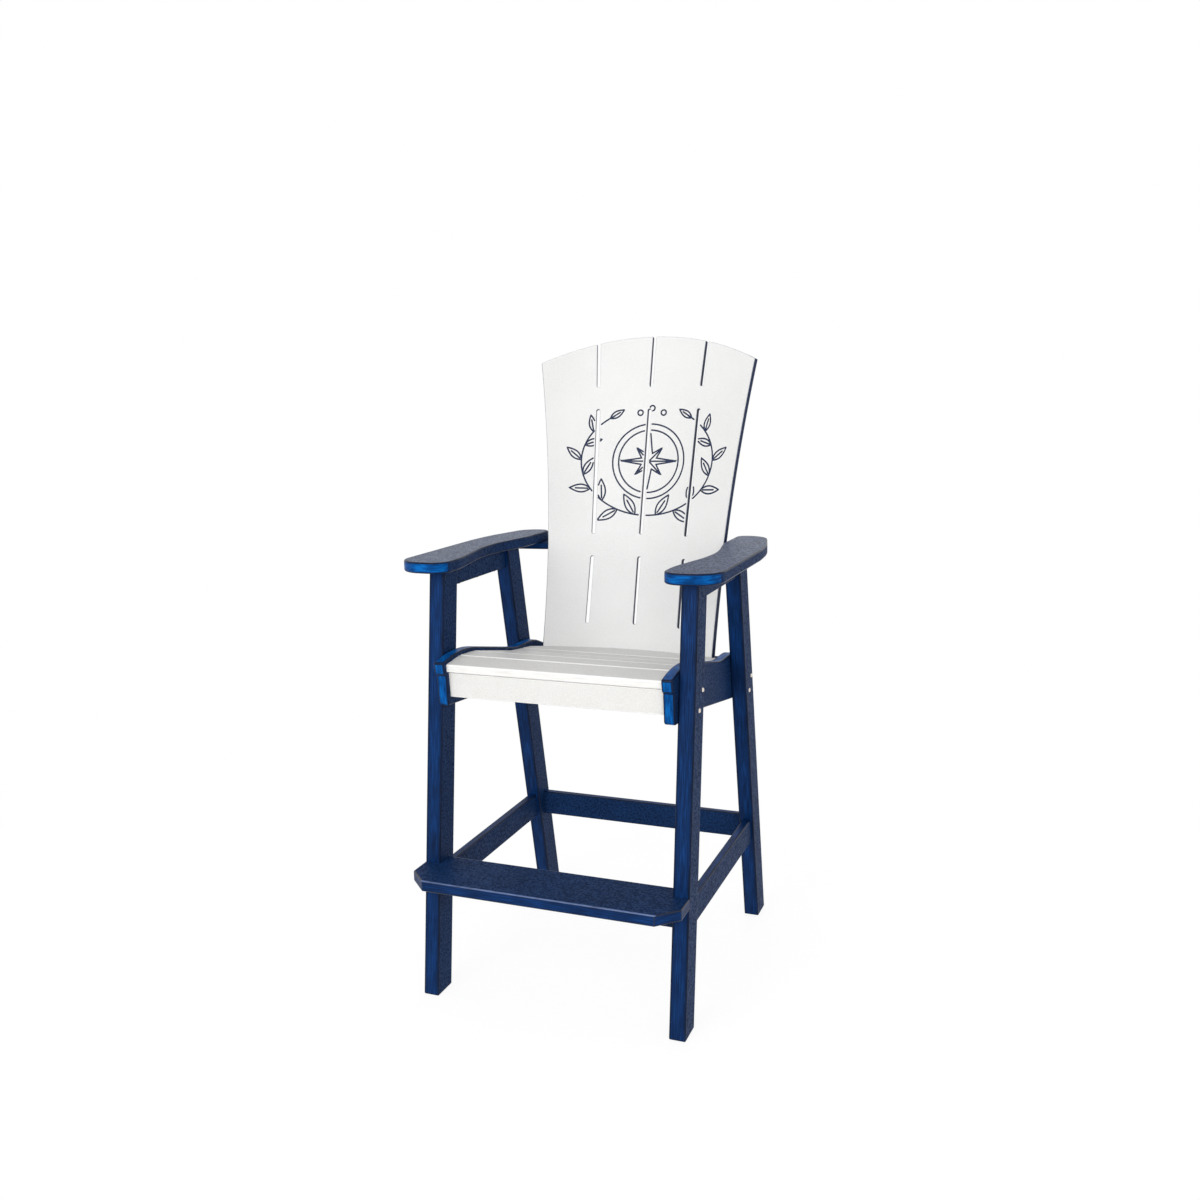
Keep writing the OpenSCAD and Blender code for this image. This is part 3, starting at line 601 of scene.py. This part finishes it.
ornament = {
    "line": 4.2, "depth": 1.6, "fromSlot": 1.4, "step": 3.5, "centre": (8, 478), "rings": (98, 82),
    "star": (76, 22), "points": 8, "shortPoint": 0.66, "ray": 0.8,
    "spray": (182, 142), "sprayFrom": -101, "sprayTo": 56,
    "leaves": 9, "leafFrom": 5, "leafTo": 38, "leafLength": 62, "leafWidth": 23, "leafTurn": (52, -50),
    "shrink": 0.35, "rib": (0.12, 0.7), "beads": ((8, 618), (-24, 606), (40, 606)), "beadSize": 7,
}


def leafPath(base, heading, length, width, count=26):
    # there along one side and back along the other; half its width follows the sine of a power of the way
    t = np.linspace(0, 1, count)
    belly = width / 2 * np.sin(pi * t ** 0.85)
    d = towards(heading)
    n = leftOf(d)
    spine = np.array(base) + length * t[:, None] * d
    return np.concatenate([spine + belly[:, None] * n, (spine - belly[:, None] * n)[-2:0:-1]])


def ornamentPaths():
    # every line of the ornament as points in mm on the unrolled panel, and whether it closes
    o, c = ornament, np.array(ornament["centre"])
    paths = []
    circle = towards(np.linspace(0, 2 * pi, 145)[:-1])
    for radius in o["rings"]:
        paths.append((c + radius * circle, True))
    tips = np.arange(2 * o["points"])
    long, inner = o["star"]
    radii = np.where(tips % 2 == 0, np.where(tips % 4 == 0, long, long * o["shortPoint"]), inner)
    angle = tips * pi / o["points"] + pi / 2
    star = c + radii[:, None] * towards(angle)
    paths.append((star, True))
    for k in range(0, 2 * o["points"], 2):
        paths.append((np.stack([c, c + o["ray"] * (star[k] - c)]), False))
    for side in (1, -1):
        way = np.radians(np.linspace(o["sprayFrom"], o["sprayTo"], 40))
        spray = towards(way) * o["spray"]
        paths.append((c + spray * [side, 1], False))
        at = np.linspace(o["leafFrom"], o["leafTo"], o["leaves"]).astype(int)
        for number, k in enumerate(at):
            ahead = atan2(*(spray[k] - spray[k - 1])[::-1])
            aside = o["leafTurn"][number % 2] if number < o["leaves"] - 1 else 0
            size = 1 - o["shrink"] * number / o["leaves"]
            heading = ahead + radians(aside)
            leaf = leafPath(spray[k], heading, o["leafLength"] * size, o["leafWidth"] * size)
            rib = spray[k] + np.linspace(*o["rib"], 6)[:, None] * o["leafLength"] * size * towards(heading)
            paths += [(c + leaf * [side, 1], True), (c + rib * [side, 1], False)]
    for bead in o["beads"]:
        paths.append((np.array(bead) + o["beadSize"] * circle[::8], True))
    return paths


def strokeOutline(path, closed, width):
    # a line of even width: the path moved half a width to either side. An open one gets round ends, as a
    # round cutter leaves them: the path's end plus half a width times a direction turning from side to side
    p = np.concatenate([path[-1:], path, path[:1]]) if closed else np.concatenate(
        [2 * path[:1] - path[1:2], path, 2 * path[-1:] - path[-2:-1]])
    before, after = unit(p[1:-1] - p[:-2]), unit(p[2:] - p[1:-1])
    n = leftOf(before + after)
    n /= np.maximum((n * leftOf(before)).sum(1, keepdims=True), 0.8)
    left, right = path + n * width / 2, path - n * width / 2
    if closed:
        return [right, left[::-1]]
    turn = np.linspace(0, pi, 6)[1:-1, None]
    endCap = path[-1] + width / 2 * (after[-1] * np.sin(turn) - n[-1] * np.cos(turn))
    startCap = path[0] + width / 2 * (n[0] * np.cos(turn) - before[0] * np.sin(turn))
    return [np.concatenate([right, endCap, left[::-1], startCap])]


def divided(path, closed, step):
    # the same path with a point at least every step
    path = np.concatenate([path, path[:1]]) if closed else path
    sides = np.linalg.norm(np.diff(path, axis=0), axis=1)
    parts = np.maximum(np.ceil(sides / step).astype(int), 1)
    at = np.concatenate([k + np.arange(n) / n for k, n in enumerate(parts)] + [[len(sides)]])
    points = np.stack([np.interp(at, np.arange(len(path)), path[:, k]) for k in (0, 1)], 1)
    return points[:-1] if closed else points


def distanceTo(points, line):
    # from each point to the nearest straight piece of the line
    d = np.diff(line, axis=0)
    away = points[:, None] - line[:-1]
    share = np.clip((away * d).sum(2) / (d * d).sum(1), 0, 1)
    return np.linalg.norm(away - share[..., None] * d, axis=2).min(1)


def clearOfSlots(path, closed):
    # the runs of a path that keep off the slots, as (points, closed)
    toSlot = np.min([distanceTo(path, spine) for spine in slotSpines], 0)
    far = toSlot > back["slotWidth"] / 2 + ornament["fromSlot"] + ornament["line"] / 2
    if far.all():
        return [(path, closed)]
    if closed:
        path, far = np.roll(path, -np.argmin(far), axis=0), np.roll(far, -np.argmin(far))
    turns = np.flatnonzero(np.diff(np.r_[0, far.astype(int), 0]))
    return [(path[first:last], False) for first, last in turns.reshape(-1, 2) if last - first > 2]


runs = []
for path, closed in ornamentPaths():
    runs += clearOfSlots(divided(path, closed, ornament["step"]), closed)
strokes = [outline for path, closed in runs for outline in strokeOutline(path, closed, ornament["line"])]


def trianglesOf(shapes, lines, loose):
    # Delaunay triangles of the plane that keep the outlines of all shapes and lines, and the shapes that
    # each is in
    points = np.concatenate(shapes + lines + [loose])
    starts = np.r_[0, np.cumsum([len(s) for s in shapes + lines])]
    rings = [np.arange(starts[k], starts[k + 1]) for k in range(len(starts) - 1)]
    faces = [ring.tolist() for ring in rings[:len(shapes)]]
    edges = np.concatenate([np.stack([ring, np.roll(ring, -1)], 1) for ring in rings[len(shapes):]]).tolist()
    out = geometry.delaunay_2d_cdt(points.tolist(), edges, faces, 0, 1e-4, True)
    return np.array(out[0]), np.array(out[2]), out[5]


# mm on the unrolled panel: a grid of loose points, every other row moved half a step, clear of the outlines.
# miter caps how far a sharp corner moves in, and even is how alike two sides are that shade as one curve
panelMesh = {"half": 300, "low": -30, "high": 812, "step": 11.0, "clear": 5, "miter": 0.2, "even": 0.9}
gridX, gridUp = np.meshgrid(np.arange(-panelMesh["half"], panelMesh["half"] + 1, panelMesh["step"]),
                            np.arange(panelMesh["low"], panelMesh["high"], panelMesh["step"]))
shift = panelMesh["step"] / 2 * (np.arange(len(gridX)) % 2)[:, None]
loose = np.stack([gridX + shift, gridUp], -1).reshape(-1, 2)
nearest = np.min([np.linalg.norm(loose[:, None] - outline[None], axis=2).min(1)
                  for outline in [panelOutline] + slotOutlines], 0)
loose = loose[nearest > panelMesh["clear"]]

flatPoints, triangles, inside = trianglesOf([panelOutline] + slotOutlines, strokes, loose)
triangles = triangles[[0 in s and len(s) == 1 for s in inside]]
centres = flatPoints[triangles].mean(1)
toLine = np.min([distanceTo(centres, np.concatenate([path, path[:1]]) if closed else path)
                 for path, closed in runs], 0)
cut = toLine < ornament["line"] / 2


def boundaryEdges(tris):
    # directed sides that no other triangle runs the other way
    edges = np.concatenate([tris[:, [0, 1]], tris[:, [1, 2]], tris[:, [2, 0]]])
    code = edges[:, 0].astype(np.int64) * 10 ** 7 + edges[:, 1]
    reverse = edges[:, 1].astype(np.int64) * 10 ** 7 + edges[:, 0]
    return edges[~np.isin(code, reverse)]


rim = boundaryEdges(triangles)
step = unit(flatPoints[rim[:, 1]] - flatPoints[rim[:, 0]])
sideways = -leftOf(step)
total = np.zeros_like(flatPoints)
np.add.at(total, rim[:, 0], sideways)
np.add.at(total, rim[:, 1], sideways)
length2 = (total ** 2).sum(1)
least = panelMesh["miter"]
miter = np.where(length2[:, None] > least, 2 * total / np.maximum(length2, least)[:, None], 0)

# the rim's profile: a small round, the white skin, the navy core, the other skin and its round
rimRound = np.linspace(0, pi / 2, 4)
roundInset, roundDepth = back["edge"] * (1 - np.sin(rimRound)), back["edge"] * (1 - np.cos(rimRound))
rimInset = np.r_[roundInset, 0, 0, roundInset[::-1]]
rimDepth = np.r_[roundDepth, back["skin"], back["thickness"] - back["skin"],
                 back["thickness"] - roundDepth[::-1]]
rimTurn = np.r_[np.cos(rimRound), 0, 0, -np.cos(rimRound[::-1])]   # how far it faces forwards


def bentPoints(flat, depth):
    angle, up = fromFlat(flat)
    return onCone(angle, up, depth) / 1000


def bentNormals(flat, sideways, forwards):
    # sideways is a direction on the unrolled panel, forwards the share towards the sitter
    angle, _ = fromFlat(flat)
    fan = angle * leanSin
    across = sideways[..., 0] * np.cos(fan) - sideways[..., 1] * np.sin(fan)
    upward = sideways[..., 0] * np.sin(fan) + sideways[..., 1] * np.cos(fan)
    s, c, zero = np.sin(angle), np.cos(angle), 0 * angle
    east = np.stack([c, -s, zero], -1)
    rise = np.stack([s * leanSin, c * leanSin, zero + leanCos], -1)
    front = np.stack([-s * leanCos, -c * leanCos, zero + leanSin], -1)
    return across[..., None] * east + upward[..., None] * rise + np.asarray(forwards)[..., None] * front


def makePanel():
    onRim = np.unique(rim)
    count = len(flatPoints)
    faceFlat = flatPoints - back["edge"] * miter           # the broad faces stop where the rim's round starts
    verts = [bentPoints(faceFlat, 0.0), bentPoints(faceFlat, back["thickness"]),
             bentPoints(faceFlat, ornament["depth"])]
    rimIndex = np.full(count, -1)
    rimIndex[onRim] = np.arange(len(onRim))
    for k in range(1, len(rimInset) - 1):
        verts.append(bentPoints(flatPoints[onRim] - rimInset[k] * miter[onRim], rimDepth[k]))
    verts = np.concatenate(verts)

    def ringVertex(k, index):
        if k == 0:
            return index
        if k == len(rimInset) - 1:
            return count + index
        return 3 * count + (k - 1) * len(onRim) + rimIndex[index]

    faces, normals, finish = [], [], []

    def add(indices, shade, slotNumber):
        faces.append(indices)
        normals.append(shade)
        finish.append(np.full(len(indices), slotNumber))

    plain, carved = triangles[~cut], triangles[cut]
    ahead = bentNormals(faceFlat, 0 * faceFlat, np.ones(count))
    add(plain, ahead[plain], 0)
    add(triangles[:, ::-1] + count, -ahead[triangles[:, ::-1]], 0)
    add(carved + 2 * count, ahead[carved], 1)
    # walls of the grooves: their rim runs anticlockwise round the carved part, so the wall faces inwards
    lip = boundaryEdges(carved)
    d = faceFlat[lip[:, 1]] - faceFlat[lip[:, 0]]
    inwards = leftOf(d) / np.maximum(np.linalg.norm(d, axis=1, keepdims=True), 1e-9)
    wall = np.stack([lip[:, 0], lip[:, 1], lip[:, 1] + 2 * count, lip[:, 0] + 2 * count], 1)
    n = bentNormals(faceFlat[lip[:, 0]], inwards, np.zeros(len(lip)))
    add(wall, np.repeat(n[:, None], 4, 1), 1)
    outwards = total / np.maximum(np.sqrt(length2), 1e-9)[:, None]
    alike = [(outwards[end] * sideways).sum(1, keepdims=True) > panelMesh["even"] for end in rim.T]
    fromEnds = [np.where(same, outwards[end], sideways) for same, end in zip(alike, rim.T)]
    for k in range(len(rimInset) - 1):
        quad = np.stack([ringVertex(k, rim[:, 0]), ringVertex(k + 1, rim[:, 0]),
                         ringVertex(k + 1, rim[:, 1]), ringVertex(k, rim[:, 1])], 1)
        corner = []
        for end, ring in ((0, k), (0, k + 1), (1, k + 1), (1, k)):
            forwards = rimTurn[ring]
            corner.append(bentNormals(flatPoints[rim[:, end]], fromEnds[end] * sqrt(1 - forwards ** 2),
                                      np.full(len(rim), forwards)))
        add(quad, np.stack(corner, 1), 1 if k == len(rimRound) else 2)
    used = np.unique(np.concatenate([f.ravel() for f in faces]))
    lookup = np.full(len(verts), -1)
    lookup[used] = np.arange(len(used))
    mesh = bpy.data.meshes.new("backPanelSheet")
    mesh.from_pydata(verts[used].tolist(), [], [f for block in faces for f in lookup[block].tolist()])
    mesh.polygons.foreach_set("use_smooth", np.ones(len(mesh.polygons), bool))
    mesh.polygons.foreach_set("material_index", np.concatenate(finish).astype(np.int32))
    mesh.normals_split_custom_set(np.concatenate([n.reshape(-1, 3) for n in normals]).tolist())
    return mesh


sheet = {
    "skin": {"colours": ("#e6e6e5", "#ebebea", "#f0f0ef"), "grain": 2.4, "grainDepth": 0.03, "lumpHighlight": 0.6,
             "cloud": 160, "roughness": 0.44, "specular": 0.45},
    "cutSkin": {"colours": ("#a9acb3", "#c4c6ca", "#c4c6ca"), "grain": 1.8, "grainDepth": 0.04, "lumpHighlight": 0.6,
                "cloud": 60, "roughness": 0.5, "specular": 0.3},
    "core": {"deep": (0.35, "#0a1833"), "light": (0.65, "#142b56"), "chatter": (2.2, 2.0, 0.6),
             "roughness": 0.5, "relief": 0.6, "depth": 0.15, "specular": 0.3},
}


def sheetCore():
    # the sheet's navy core, bared by the router: matt, with the cutter's fine chatter
    core = sheet["core"]
    material, tree = newMaterial("layeredHdpeNavyCore")
    chatter = addNoise(tree, objectPlace(tree), *core["chatter"])
    tone = addRamp(tree, chatter, core["deep"], core["light"])
    finishPlastic(tree, tone, core["roughness"], chatter, core["relief"], core["depth"], core["specular"])
    return material


# the sheet's white skin, extruded against a matt roller: an even, quiet satin face with a very fine
# stipple, drawn a little coarse here so that it shows, and broad soft clouds where it has been handled
sheetSkin = embossedPlastic("layeredHdpeWhiteSkin", **sheet["skin"])
# the white skin's own rounded edge: the navy core dims it where the cutter has thinned it out
cutSkin = embossedPlastic("layeredHdpeCutSkin", **sheet["cutSkin"])
addPiece("backPanelSheet", ["back_panel"], makePanel(), [sheetSkin, sheetCore(), cutSkin])
print("back panel made,", len(triangles), "triangles on its face,", int(cut.sum()), "of them in the ornament")


# boards that follow the panel

def arcAt(radius, halfWidth, count=48):
    # along the panel's bend at one level, from one side to the other, in the plan's numbers
    x = np.linspace(-halfWidth, halfWidth, count)
    return np.stack([x, back["axis"] + np.sqrt(radius ** 2 - x ** 2)], 1)


def bendRadius(z, behind):
    return back["bend"] + (z - back["foot"]) * leanTan + behind


sheetDepth = back["thickness"] / leanCos

rearSlat = {"front": 465.75, "top": 733.7, "tilt": -6.3, "thickness": slats["thickness"], "edge": 2.4,
            "corner": 2.6, "into": 2.5, "bendUnder": 20}
slatArc = arcAt(bendRadius(rearSlat["top"] - rearSlat["bendUnder"], 0) + rearSlat["into"], slats["half"])
slatRear = (slatArc[:, 1] - rearSlat["front"]) / cos(radians(rearSlat["tilt"]))
corners = [[-slats["half"], 0], [slats["half"], 0], *np.stack([slatArc[:, 0], slatRear], 1)[::-1]]
makeBoard("rearSeatSlatBoard", ["rear_seat_slat"], withRadius(corners, rearSlat["corner"]), rearSlat,
          slatPlace(rearSlat["front"], rearSlat["top"], rearSlat["tilt"]), whiteFinishes,
          steps=2)

lowerRail = {"thickness": 25.4, "rear": 639.9, "front": 533.3, "edge": 2.6, "half": 258.8, "corner": 2.8,
             "bendCorner": 2.6, "into": 3.5, "short": 0.5}
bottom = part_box("lower_back_rail")[0].z * 1000
lowerRadius = bendRadius(bottom + lowerRail["thickness"] / 2, sheetDepth) - lowerRail["into"]
bendEnd = sqrt(lowerRadius ** 2 - (lowerRail["front"] - back["axis"]) ** 2)
railEnd = withRadius([[-lowerRail["half"], lowerRail["rear"]], [-lowerRail["half"], lowerRail["front"]]],
                     lowerRail["corner"])
lowerBend = withRadius(arcAt(lowerRadius, bendEnd - lowerRail["short"]), lowerRail["bendCorner"])
makeBoard("lowerBackRailBoard", ["lower_back_rail"], railEnd + lowerBend + mirrored(railEnd), lowerRail,
          seenFromAbove(bottom), steps=2)

# shoulder: outwards and forwards of the panel's edge, and its radius
upperRail = {"bottom": 969.4, "thickness": 19, "half": 330.3, "end": 666, "wing": 16, "behind": 46,
             "shoulder": (14, 4, 6), "rearIn": 40, "wingRadius": 12, "endRadius": 30, "rearRadius": 120,
             "edge": 2.6, "bendCorner": 2.6, "into": 2.7, "short": 2}
upperRadius = bendRadius(upperRail["bottom"] + upperRail["thickness"] / 2, sheetDepth)
wide, bendY = upperRadius * sin(waist), back["axis"] + upperRadius * cos(waist)
rear = back["axis"] + upperRadius + upperRail["behind"]
outwards, forwards, shoulderRadius = upperRail["shoulder"]
wing = [[wide + outwards, bendY - forwards, shoulderRadius],
        [upperRail["half"], bendY - upperRail["wing"], upperRail["wingRadius"]],
        [upperRail["half"], upperRail["end"], upperRail["endRadius"]],
        [wide - upperRail["rearIn"], rear, upperRail["rearRadius"]]]
upperBend = withRadius(arcAt(upperRadius - upperRail["into"], wide - upperRail["short"]),
                       upperRail["bendCorner"])
makeBoard("upperBackRailBoard", ["upper_back_rail"], upperBend + wing + mirrored(wing), upperRail,
          seenFromAbove(upperRail["bottom"]))
print("rails and rear slat made")


# CAD nodes that stay as they are

screwSteel = {"low": (0.3, "#d2c8ba"), "high": (0.7, "#f2e9dc"), "frost": (0.8, 2.0, 0.6),
              "roughness": (0.26, 0.44)}


def stainlessSteel():
    # A2 stainless, cold-headed and tumbled: bright but soft, with a fine frosted grain
    material, tree = newMaterial("stainlessSteelTumbled")
    frost = addNoise(tree, objectPlace(tree), *screwSteel["frost"])
    tone = addRamp(tree, frost, screwSteel["low"], screwSteel["high"])
    gloss = addRange(tree, frost, 0, 1, *screwSteel["roughness"])
    finishMaterial(tree, addNode(tree, "BsdfPrincipled", {
        "Base Color": tone, "Metallic": 1.0, "Roughness": gloss}))
    return material


steel = stainlessSteel()
for name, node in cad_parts.items():
    if node.hide_render:
        continue
    finish = steel if name.endswith(("screws", "pins")) else navyEmbossed
    node.data.materials.clear()
    node.data.materials.append(finish)
print("screws, pins and cleats finished")


# studio

studio = {"floorHalf": 40, "floorCells": 8, "floorDrop": 0.0004, "floorLit": 0.17, "floorLevel": 0.66,
          "fade": (0.5, 2.2), "sky": 0.56, "aim": (0, 0, 0.8)}
lamps = {
    "keySoftbox": {"place": (-0.8, -4.3, 2.6), "size": 3.0, "energy": 88, "glossy": True},
    "fillSoftbox": {"place": (1.9, -3.1, 1.5), "size": 2.4, "energy": 28, "glossy": False},
    "rearSoftbox": {"place": (-0.4, 3.9, 2.2), "size": 2.4, "energy": 40, "glossy": False},
}


def lightPathShare(tree):
    # 1 for what the camera, mirrors and glass see, 0 for the light that falls on the object
    path = addNode(tree, "LightPath")
    two = addMath(tree, "ADD", path.outputs["Is Camera Ray"], path.outputs["Is Glossy Ray"])
    return addMath(tree, "ADD", two, path.outputs["Is Transmission Ray"], use_clamp=True)


def makeFloor():
    half, cells = studio["floorHalf"], studio["floorCells"]
    x, y = (v.ravel() for v in np.meshgrid(*[np.linspace(-half, half, cells + 1)] * 2))
    corner = (np.arange(cells)[:, None] * (cells + 1) + np.arange(cells)).ravel()
    quads = np.stack([corner, corner + 1, corner + cells + 2, corner + cells + 1], 1)
    mesh = bpy.data.meshes.new("floor")
    mesh.from_pydata(np.stack([x, y, 0 * x - studio["floorDrop"]], 1).tolist(), [], quads.tolist())
    floor = addObject("floor", mesh)
    # paper floor: near white to the camera, yet it keeps the object's soft shadow
    material, tree = newMaterial("paperFloor")
    place = objectPlace(tree)
    fibre = addNode(tree, "TexNoise", {"Vector": place, "Scale": 3.0, "Detail": 3.0})
    paper = addRamp(tree, fibre.outputs["Fac"], (0, "#f0f0ef"), (1, "#f5f5f4"))
    lit = addNode(tree, "BsdfDiffuse", {"Color": paper})
    # what the camera sees is a share of the lit paper, which fades out with the distance, and a glow that
    # makes up the rest: 1 less that share of floorLevel, the brightness of the open paper
    far = addNode(tree, "VectorMath", {0: place}, operation="LENGTH")
    share = addRange(tree, far.outputs["Value"], *studio["fade"], studio["floorLit"], 0.0, soft=True)
    dimmed = addNode(tree, "VectorMath", {0: paper, "Scale": share}, operation="SCALE")
    dimPaper = addNode(tree, "BsdfDiffuse", {"Color": dimmed.outputs[0]})
    strength = addMath(tree, "MULTIPLY_ADD", share, -studio["floorLevel"], 1.0)
    glow = addNode(tree, "Emission", {"Color": (1, 1, 1, 1), "Strength": strength})
    seen = addNode(tree, "AddShader", {0: dimPaper.outputs[0], 1: glow.outputs[0]})
    shader = addNode(tree, "MixShader", {0: lightPathShare(tree), 1: lit.outputs[0], 2: seen.outputs[0]})
    finishMaterial(tree, shader)
    mesh.materials.append(material)
    floor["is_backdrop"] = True


def makeSky():
    world = bpy.data.worlds.new("studioSky")
    world.use_nodes = True
    tree = world.node_tree
    tree.nodes.clear()
    soft, white = (addNode(tree, "Background", {"Color": (1, 1, 1, 1), "Strength": level}).outputs[0]
                   for level in (studio["sky"], 1.0))
    mix = addNode(tree, "MixShader", {0: lightPathShare(tree), 1: soft, 2: white})
    addNode(tree, "OutputWorld", {"Surface": mix.outputs[0]})
    bpy.context.scene.world = world


def standAt(name, data, x, y, z, place):
    # the object that holds a lamp or the camera, with its axes and its place
    holder = addObject(name, data)
    holder.matrix_world = Matrix([*np.stack([x, y, z, place], 1).tolist(), [0, 0, 0, 1]])
    return holder


def makeLamp(name, place, size, energy, glossy):
    lamp = bpy.data.lights.new(name, "AREA")
    lamp.shape, lamp.size, lamp.energy = "DISK", size, energy
    toAim = np.array(studio["aim"], float) - place
    z = -toAim / np.linalg.norm(toAim)
    x = np.cross((0, 0, 1), z)
    x /= np.linalg.norm(x)
    holder = standAt(name, lamp, x, np.cross(z, x), z, place)
    holder.visible_glossy, holder.visible_camera = glossy, False


makeFloor()
makeSky()
for name, lamp in lamps.items():
    makeLamp(name, **lamp)


# camera

camera = {"place": (1.0203, -2.6270, 1.4058), "turn": 21.281, "down": 10.404, "roll": -1.018, "lens": 35.9,
          "sensor": 36, "clip": (0.05, 100)}


def makeCamera():
    # the photo's camera: turned to the left, tilted down and rolled a little
    turn, down, roll = (radians(camera[k]) for k in ("turn", "down", "roll"))
    forward = np.array([-sin(turn) * cos(down), cos(turn) * cos(down), -sin(down)])
    right = np.array([cos(turn), sin(turn), 0])
    up = np.cross(right, forward)
    x, y = right * cos(roll) + up * sin(roll), -right * sin(roll) + up * cos(roll)
    data = bpy.data.cameras.new("photoCamera")
    data.lens, data.sensor_width, data.sensor_fit = camera["lens"], camera["sensor"], "AUTO"
    data.clip_start, data.clip_end = camera["clip"]
    bpy.context.scene.camera = standAt("photoCamera", data, x, y, -forward, camera["place"])


makeCamera()
bpy.context.scene.view_settings.view_transform = "Standard"
print("studio and camera made")

low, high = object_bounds()
